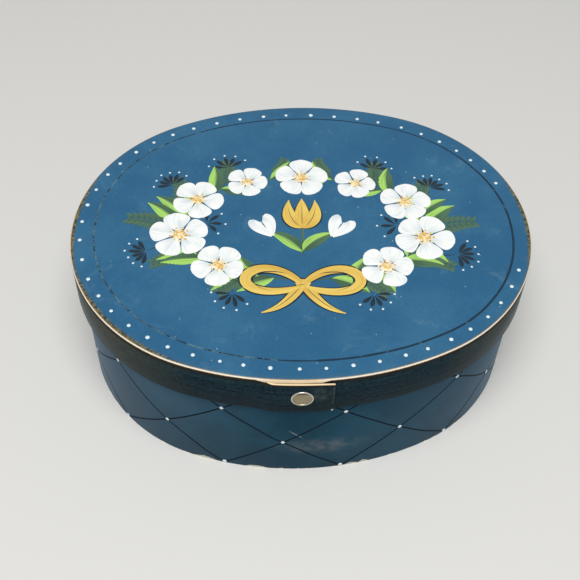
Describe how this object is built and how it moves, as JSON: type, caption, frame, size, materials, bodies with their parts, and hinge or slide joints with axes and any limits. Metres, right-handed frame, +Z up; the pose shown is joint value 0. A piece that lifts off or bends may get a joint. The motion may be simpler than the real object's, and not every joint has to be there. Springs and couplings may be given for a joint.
{
  "type": "oval bentwood box",
  "caption": "Oval bentwood trinket box with a lift-off lid: painted bent bands round flat panels, laps held by cap rivets.",
  "frame": {"origin": "middle of the oval on the underside, at the level that the box stands on", "axes": "+X to the right along the box's length, -Y towards the front, where the lid's lap and rivet are, +Z up"},
  "size_m": [0.2, 0.1658, 0.07],
  "materials": {
    "bare_wood": "bare, sanded",
    "body_paint": "blue paint, satin, bare inside",
    "lid_paint": "blue paint, satin, bare inside",
    "rim_paint": "black paint, satin, bare inside",
    "rivet_metal": "worn nickel plate"
  },
  "bodies": {
    "box": {"base_panel": "bare_wood", "body_band": "body_paint", "body_rivet_cap_low": "rivet_metal", "body_rivet_post_low": "rivet_metal", "body_rivet_cap_high": "rivet_metal", "body_rivet_post_high": "rivet_metal"},
    "lid": {"lid_panel": "lid_paint", "lid_band": "rim_paint", "lid_rivet_cap": "rivet_metal", "lid_rivet_post": "rivet_metal"}
  },
  "joints": [
    {"name": "lid_lift", "type": "slide", "parent": "box", "child": "lid", "axis": [0, 0, 1], "range_m": [0, 0.08]}
  ]
}
